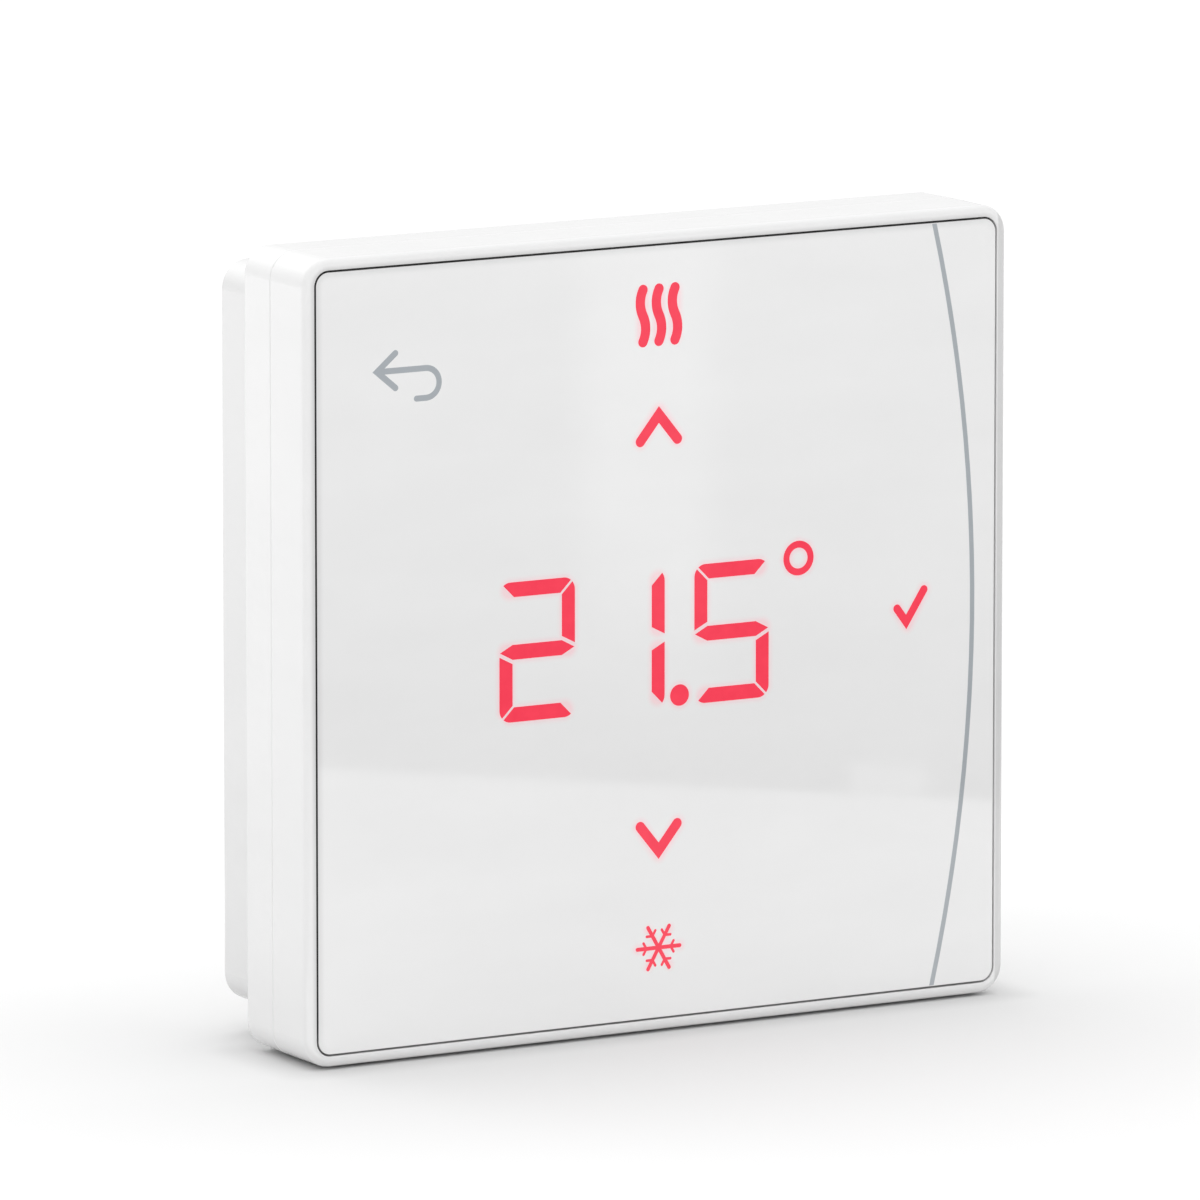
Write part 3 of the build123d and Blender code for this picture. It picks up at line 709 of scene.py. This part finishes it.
def make_cell(node, nub_side):
    """A dry cell: sleeve, rolled ends, insulating washer, steel base and nub."""
    lo, hi = (Vector(corner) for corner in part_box(node))
    radius = (hi.z - lo.z) / 2
    nub = 0.9
    length = hi.x - lo.x - nub * MM
    steel, sleeve, washer = range(3)
    # Both ends in mm, outward from the axis at the base and inward to it at the top: (height from the
    # base or depth below the shoulder, radius, material of the stretch that follows).
    base = [(0, 0, steel), (0, 3.3, steel), (0.3, 3.55, steel), (0.3, 4.3, steel), (0.05, 4.5, sleeve),
            (0, 4.75, sleeve), (0.12, 5.0, sleeve), (0.45, 5.2, sleeve), (1.2, radius / MM, sleeve)]
    top = [(1.2, radius / MM, sleeve), (0.45, 5.2, sleeve), (0.12, 4.95, sleeve), (0.02, 4.6, sleeve),
           (0.3, 4.25, washer), (0.3, 3.4, steel), (0.08, 3.2, steel), (0.02, 2.7, steel),
           (0.02, 2.15, steel), (-0.12, 1.9, steel), (-0.7, 1.86, steel), (-nub, 1.6, steel),
           (-nub, 0, steel)]
    profile = [(height * MM, ring * MM, index) for height, ring, index in base]
    profile += [(length - depth * MM, ring * MM, index) for depth, ring, index in top]
    flat_end = lo.x if nub_side > 0 else hi.x
    axis = X * nub_side
    place = axes(Vector((flat_end, (lo.y + hi.y) / 2, (lo.z + hi.z) / 2)), Y, axis)
    bm = bmesh.new()
    lathe(bm, profile, place)
    jacket = cell_jacket(node + "_jacket", nub_side)
    add_piece(node + "_detail", bm, "thermostat",
              [finishes["nickel_contact"], jacket, finishes["tape_grey"]], [node])


def make_end_capped(name, node, body_finish, cap_share, lens=None):
    """Small board parts: a body with a plated cap at each end and, on a light, a lens on top."""
    same_level = 0.01 * MM
    slim = 0.94
    bm = bmesh.new()
    for points in loose_parts(node):
        lo, hi = corners_of(points)
        base = [point for point in points if abs(point.y - hi.y) < same_level]
        first, *others = sorted(base, key=lambda point: (point.x, point.z))
        across, along, *_ = sorted((point - first for point in others), key=lambda run: run.length)
        size = Vector((along.length, hi.y - lo.y, across.length))
        middle = (lo + hi) / 2
        right = along.normalized()
        place = axes(middle, right, across.normalized())
        ease = 0.08 * size.z
        cap = cap_share * size.x
        brick(bm, place, (size.x - cap, size.y * slim, size.z * slim), ease, 0)
        for side in (-1, 1):
            end = Matrix.Translation(right * side * (size.x - cap) / 2)
            brick(bm, end @ place, (cap, size.y, size.z), ease, 1)
        if lens:
            face = Matrix.Translation(-Y * size.y * 0.36)
            brick(bm, face @ place, (size.x * 0.5, size.y * 0.2, size.z * 0.7), ease, 2)
    materials = [body_finish, finishes["tinned_steel"]] + ([lens] if lens else [])
    add_piece(name, bm, "thermostat", materials, [node])


def make_polarity_marks():
    """Raised plus and minus marks on the rear cover, beside the ends of each cell."""
    mark_x = 28.5 * MM
    mark_length = 3.2 * MM
    line_width = 0.7 * MM
    arm_length = 1.25 * MM
    arm_middle = 0.98 * MM
    height = 0.15 * MM
    sunk = 0.02 * MM
    ease = 0.06 * MM
    bm = bmesh.new()
    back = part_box("rear_cover")[1][1]
    for node, nub_side in (("upper_cell", 1), ("lower_cell", -1)):
        lo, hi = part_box(node)
        level = (lo[2] + hi[2]) / 2
        for side in (-1, 1):
            place = axes(Vector((side * mark_x, back + height / 2 - sunk, level)), X, Z)
            brick(bm, place, (mark_length, height, line_width), ease)
            if side == nub_side:
                for end in (-1, 1):
                    arm = Matrix.Translation(Z * end * arm_middle)
                    brick(bm, arm @ place, (line_width, height, arm_length), ease)
    add_piece("polarity_marks", bm, "thermostat", [finishes["cover_white"]])


def label_paper(centre, width, height):
    """A blank rating label: matt silver paper with a printed border and ruled rows."""
    margin = 1.0 * MM
    line_half_width = 0.1 * MM
    row_pitch = 3.2 * MM
    rule_width = 0.16 * MM
    finish = moulded("label_paper", (0.74, 0.745, 0.75), 0.38, grain=(0.08 * MM, 0.003 * MM))
    offset = finish.vector("SUBTRACT", finish.place, centre)
    across, _, up = finish.parts(finish.vector("ABSOLUTE", offset))
    border = finish.math("MAXIMUM", finish.math("SUBTRACT", across, width / 2 - margin),
                         finish.math("SUBTRACT", up, height / 2 - margin))
    line = finish.math("LESS_THAN", finish.math("ABSOLUTE", border), line_half_width)
    rules = finish.math("MULTIPLY", finish.stripes(up, row_pitch, rule_width),
                        finish.math("LESS_THAN", border, 0))
    finish.paint(finish.math("MAXIMUM", line, rules), (0.16, 0.17, 0.18))
    return finish.material


def make_label():
    """A blank label on the back of the rear cover, above the cells."""
    width = 32 * MM
    height = 12 * MM
    corner = 1.2 * MM
    thickness = 0.12 * MM
    sunk = 0.02 * MM
    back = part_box("rear_cover")[1][1]
    centre = Vector((-14 * MM, back, 4 * MM))
    bm = bmesh.new()
    rounded_plate(bm, axes(centre - Y * sunk, X, Y), width, height, corner, thickness)
    add_piece("rating_label", bm, "thermostat", [label_paper(centre, width, height)])


make_cell("upper_cell", 1)
make_cell("lower_cell", -1)
make_end_capped("display_led_parts", "display_leds", finishes["led_body"], 0.2, led_lens())
make_end_capped("chip_parts", "chip_components", finishes["chip_ceramic"], 0.22)
make_polarity_marks()
make_label()


# ---- Studio ----

def put_stage(thing):
    """Puts a studio object in the scene and hands it back."""
    bpy.context.scene.collection.objects.link(thing)
    return thing


def make_floor():
    """A wide pale floor, a hair below the object's bottom edge, with a painted shadow round its foot."""
    half = 6.0
    hair = 0.3 * MM
    shadow_reach = 82 * MM
    contact_shadow_reach = 5 * MM
    mesh = bpy.data.meshes.new("studio_floor")
    level = cad_lo.z - hair
    corners = [(x, y, level) for x, y in ((-half, -half), (half, -half), (half, half), (-half, half))]
    mesh.from_pydata(corners, [], [range(4)])
    put_stage(bpy.data.objects.new("studio_floor", mesh))
    finish = Finish("floor_paper", (0.92, 0.92, 0.92), 0.6, Specular_IOR_Level=0)
    # Painted shadow: the paper is greyer around the object's foot, and darker still close to it.
    foot_lo, foot_hi = (Vector(corner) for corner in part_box("front_bezel"))
    away = finish.outside_box(finish.place, (foot_lo + foot_hi) / 2, (foot_hi - foot_lo) / 2)
    clear = finish.spread(away, 0, 1, 0, shadow_reach, smooth=True)
    finish.tint(finish.mix(clear, (0.85,) * 3, (0.94,) * 3))
    finish.darken(finish.spread(away, 0.9, 1, 0, contact_shadow_reach, smooth=True))
    mesh.materials.append(finish.material)


def make_world(base, glows):
    """An even white surround with a few broad soft glows, each as (direction, sharpness, strength)."""
    world = bpy.data.worlds.new("studio")
    bpy.context.scene.world = world
    world.use_nodes = True
    graph = Graph(world.node_tree)
    direction = graph.add("ShaderNodeTexCoord").outputs["Generated"]
    total = graph.plus(0, 1, base, "even")
    for name, (toward, sharpness, strength) in glows.items():
        facing = graph.vector("DOT_PRODUCT", direction, Vector(toward).normalized(), out=1)
        lobe = graph.math("POWER", graph.math("MAXIMUM", facing, 0), sharpness)
        total = graph.plus(total, lobe, strength, name)
    background = graph.tree.nodes["Background"]
    background.inputs["Color"].default_value = (1, 1, 1, 1)
    graph.feed(background.inputs["Strength"], total)


def make_card(name, corners, even, glows):
    """A glowing card, with corners in mm, that only shows as a reflection in glossy faces."""
    mesh = bpy.data.meshes.new(name)
    points = [tuple(value * MM for value in corner) for corner in corners]
    mesh.from_pydata(points, [], [range(len(points))])
    card = put_stage(bpy.data.objects.new(name, mesh))
    material = bpy.data.materials.new(name)
    material.use_nodes = True
    graph = Graph(material.node_tree)
    graph.tree.nodes.clear()
    place = graph.parts(graph.add("ShaderNodeTexCoord").outputs["Object"])
    total = graph.plus(0, 1, even, "even")
    for shape, strength in glows:
        total = graph.plus(total, shape(graph, place), strength, shape.__name__)
    glow = graph.add("ShaderNodeEmission")
    graph.feed(glow.inputs["Strength"], total)
    out = graph.add("ShaderNodeOutputMaterial")
    graph.feed(out.inputs["Surface"], glow.outputs[0])
    mesh.materials.append(material)
    card.visible_camera = False
    card.visible_diffuse = False
    card.visible_transmission = False
    card.visible_shadow = False


def window(graph, value, low, high, edge):
    """1 between low and high, falling smoothly to 0 over 'edge' on each side, all in mm."""
    rise = graph.spread(value, 0, 1, (low - edge) * MM, low * MM, smooth=True)
    fall = graph.spread(value, 1, 0, high * MM, (high + edge) * MM, smooth=True)
    return graph.math("MULTIPLY", rise, fall)


# ---- Reflected cards; lengths in mm ----

FLOOR_Z = cad_lo.z / MM
CARD_LIFT = 0.3
# The near card starts at this y, and the front card stands on its other edge, y = x - FRONT_OFFSET.
NEAR_START = -26.5
FRONT_OFFSET = 220.5
# The left card's nearest edge lies on y = x + LEFT_OFFSET.
LEFT_OFFSET = 200.4


def near_close(graph, place):
    """The near card, brighter towards the object's foot."""
    return graph.spread(place["Y"], 0, 1, -140 * MM, -30 * MM)


def front_rise(graph, place):
    """The front card, brighter towards its upper part."""
    return graph.spread(place["Z"], 0, 1, FLOOR_Z * MM, (FLOOR_Z + 65) * MM)


def front_band(graph, place):
    """An upright band on the front card that starts above the floor."""
    above = graph.spread(place["Z"], 0, 1, (FLOOR_Z + 7) * MM, (FLOOR_Z + 26) * MM)
    return graph.math("MULTIPLY", window(graph, place["X"], 68.5, 74.5, 5), above)


def front_spot(graph, place):
    """A small glow at the front card's foot."""
    return graph.math("MULTIPLY", window(graph, place["X"], 89.5, 94.5, 1.5),
                      window(graph, place["Z"], FLOOR_Z + 1, FLOOR_Z + 3, 2))


def left_rise(graph, place):
    """The left card, brighter away from the object."""
    return graph.spread(place["Y"], 0, 1, 100 * MM, 500 * MM)


def make_cards():
    """One card flat before the object, one upright on that card's far edge, one flat at the left behind."""
    near = [(170, NEAR_START), (170, 170 - FRONT_OFFSET), (-60, -60 - FRONT_OFFSET),
            (-90, -60 - FRONT_OFFSET), (-90, NEAR_START)]
    make_card("card_near", [(x, y, FLOOR_Z + CARD_LIFT) for x, y in near], 1.4, [(near_close, 0.85)])
    upright = [(-60, 0), (200, 0), (200, 130), (-60, 130)]
    make_card("card_front", [(x, x - FRONT_OFFSET, FLOOR_Z + height) for x, height in upright], 0.0,
              [(front_rise, 0.85), (front_band, 0.75), (front_spot, 0.84)])
    left = [(-150, LEFT_OFFSET - 150), (-20, LEFT_OFFSET - 20), (-20, 700), (-500, 700),
            (-500, LEFT_OFFSET - 150)]
    make_card("card_left", [(x, y, FLOOR_Z + CARD_LIFT) for x, y in left], 1.07, [(left_rise, 0.47)])


# ---- Camera ----


def make_camera():
    """A long lens, left of the object and a little above it."""
    azimuth = math.radians(-30.03)
    elevation = math.radians(9.603)
    distance = 1.4796
    shift_right = 0.006396
    shift_up = -0.003505
    back = Vector((math.sin(azimuth) * math.cos(elevation), -math.cos(azimuth) * math.cos(elevation),
                   math.sin(elevation)))
    right = (-back).cross(Z).normalized()
    up = right.cross(-back)
    data = bpy.data.cameras.new("camera")
    data.sensor_width = 36
    data.lens = 417.98
    data.clip_start = 0.05
    data.clip_end = 30
    camera = bpy.data.objects.new("camera", data)
    front = Vector((0, cad_lo.y, 0))
    camera.location = front - right * shift_right - up * shift_up + back * distance
    camera.rotation_euler = Matrix((right, up, back)).transposed().to_euler()
    bpy.context.scene.collection.objects.link(camera)
    bpy.context.scene.camera = camera


make_floor()
make_world(0.728, {
    "zenith": ((0, 0, 1), 4, 0.82),
    "front": ((0, -1, 0.2), 2, 0.08),
    "back_up": ((0, 1, 1), 4, 0.30),
    "corner": ((-0.17, 0.85, 0.49), 16, 0.9),
    "horizon": ((0.49, 0.85, 0.17), 60, 0.06),
})
make_cards()
make_camera()
bpy.context.scene.view_settings.view_transform = "Standard"
